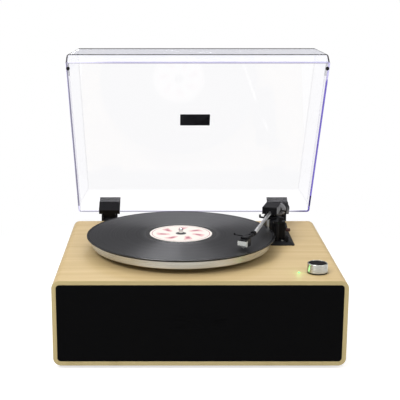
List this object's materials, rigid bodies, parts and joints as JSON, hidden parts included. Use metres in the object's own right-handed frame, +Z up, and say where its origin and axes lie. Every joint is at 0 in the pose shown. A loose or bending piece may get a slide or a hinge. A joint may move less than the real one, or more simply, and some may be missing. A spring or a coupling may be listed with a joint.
{
  "type": "record player",
  "caption": "Belt-drive record player in a wrap-around wooden case with built-in speakers, a straight tonearm with cueing lever and a hinged clear dust cover.",
  "frame": {"origin": "on the standing surface, under the middle of the whole with the dust cover open", "axes": "+X to the user's right, +Y to the back, +Z up"},
  "size_m": [0.43, 0.4008, 0.4493],
  "materials": {
    "veneer": "satin light beech veneer",
    "black_board": "black stained fibreboard",
    "black_cloth": "tight woven speaker cloth",
    "black_plastic": "fine textured moulding",
    "gloss_black": "polished moulding",
    "black_rubber": "moulded rubber",
    "black_felt": "felt mat",
    "vinyl": "grooved record",
    "label_paper": "uncoated printed paper",
    "platter_metal": "turned, brushed edge",
    "steel": "plain steel",
    "tube_metal": "polished tube",
    "knob_metal": "turned side",
    "paper_cone": "pressed paper pulp",
    "dark_magnet": "ferrite and plated steel",
    "board_green": "printed board",
    "white_plastic": "moulded stylus holder",
    "grey_plastic": "ribbed dial",
    "clear_cover": "clear cast acrylic",
    "green_light": "lit lens"
  },
  "bodies": {
    "cabinet": {"arm_base_plate": "black_plastic", "arm_rest": "black_plastic", "arm_tower": "black_plastic", "aux_socket": "black_plastic", "bearing_housing": "steel", "board_parts": "gloss_black", "cabinet_shell": "veneer", "case_screws": "steel", "circuit_board": "board_green", "drive_belt": "black_rubber", "drive_screws": "steel", "front_baffle": "black_board", "grille_cloth": "black_cloth", "grille_frame": "black_plastic", "heat_sink": "knob_metal", "hinge_brackets": "black_plastic", "hinge_pins": "steel", "lift_damper": "tube_metal", "motor_body": "steel", "motor_grommets": "black_rubber", "motor_plate": "steel", "phono_sockets": "steel", "power_inlet": "black_plastic", "power_light": "green_light", "rear_panel": "black_board", "rubber_feet": "black_rubber", "socket_plate": "black_plastic", "speaker_baskets": "black_plastic", "speaker_cones": "paper_cone", "speaker_magnets": "dark_magnet", "speaker_surrounds": "black_rubber", "volume_control": "steel"},
    "platter": {"platter": "platter_metal", "slip_mat": "black_felt", "record": "vinyl", "record_label": "label_paper", "spindle": "steel"},
    "pulley": {"motor_pulley": "steel"},
    "arm_turret": {"arm_yoke": "black_plastic", "arm_hood": "black_plastic"},
    "tonearm": {"arm_tube": "tube_metal", "pivot_bearing": "black_plastic", "weight_dial": "grey_plastic", "counterweight": "black_plastic", "headshell": "black_plastic", "cartridge": "gloss_black", "stylus": "white_plastic", "finger_lift": "black_plastic"},
    "cue": {"cue_lever": "black_plastic"},
    "lift": {"lift_bar": "black_plastic"},
    "rest_clip": {"arm_clip": "black_plastic"},
    "lid": {"dust_cover": "clear_cover", "lid_plate": "gloss_black", "lid_bumpers": "black_rubber", "hinge_clips": "black_plastic"},
    "knob": {"volume_knob": "knob_metal", "knob_skirt": "black_plastic", "knob_cap": "gloss_black", "knob_shaft": "steel"},
    "speed": {"speed_selector": "black_plastic"}
  },
  "joints": [
    {"name": "platter_spin", "type": "hinge", "parent": "cabinet", "child": "platter", "pos_m": [-0.0256, -0.02898, 0.15], "axis": [0, 0, -1], "continuous": true},
    {"name": "pulley_spin", "type": "hinge", "parent": "cabinet", "child": "pulley", "pos_m": [-0.10197, 0.04739, 0.148], "axis": [0, 0, -1], "continuous": true},
    {"name": "arm_swing", "type": "hinge", "parent": "cabinet", "child": "arm_turret", "pos_m": [0.1277, 0.05162, 0.17], "axis": [0, 0, 1], "range_deg": [-21, 20.5]},
    {"name": "arm_tilt", "type": "hinge", "parent": "arm_turret", "child": "tonearm", "pos_m": [0.1277, 0.05162, 0.1765], "axis": [-0.9608, 0.2773, 0], "range_deg": [0, 2.54]},
    {"name": "cue_turn", "type": "hinge", "parent": "cabinet", "child": "cue", "pos_m": [0.1465, 0.02962, 0.159], "axis": [-1, 0, 0], "range_deg": [0, 60]},
    {"name": "lift_slide", "type": "slide", "parent": "cabinet", "child": "lift", "axis": [0, 0, 1], "range_m": [0, 0.0015]},
    {"name": "clip_turn", "type": "hinge", "parent": "cabinet", "child": "rest_clip", "pos_m": [0.13747, 0.00022, 0.1779], "axis": [0.0767, -0.9971, 0], "range_deg": [0, 100]},
    {"name": "lid_hinge", "type": "hinge", "parent": "cabinet", "child": "lid", "pos_m": [0, 0.15622, 0.1348], "axis": [1, 0, 0], "range_deg": [0, 59.2]},
    {"name": "knob_turn", "type": "hinge", "parent": "cabinet", "child": "knob", "pos_m": [0.1749, -0.15858, 0.14], "axis": [0, 0, 1], "range_deg": [-150, 150]},
    {"name": "speed_slide", "type": "slide", "parent": "cabinet", "child": "speed", "axis": [0, 1, 0], "range_m": [-0.003, 0.003]}
  ],
  "couplings": [
    {"joint": "pulley_spin", "follows": "platter_spin", "ratio": 12.903},
    {"joint": "arm_tilt", "follows": "cue_turn", "ratio": 0.0423},
    {"joint": "lift_slide", "follows": "cue_turn", "m_per_rad": 0.00135}
  ]
}
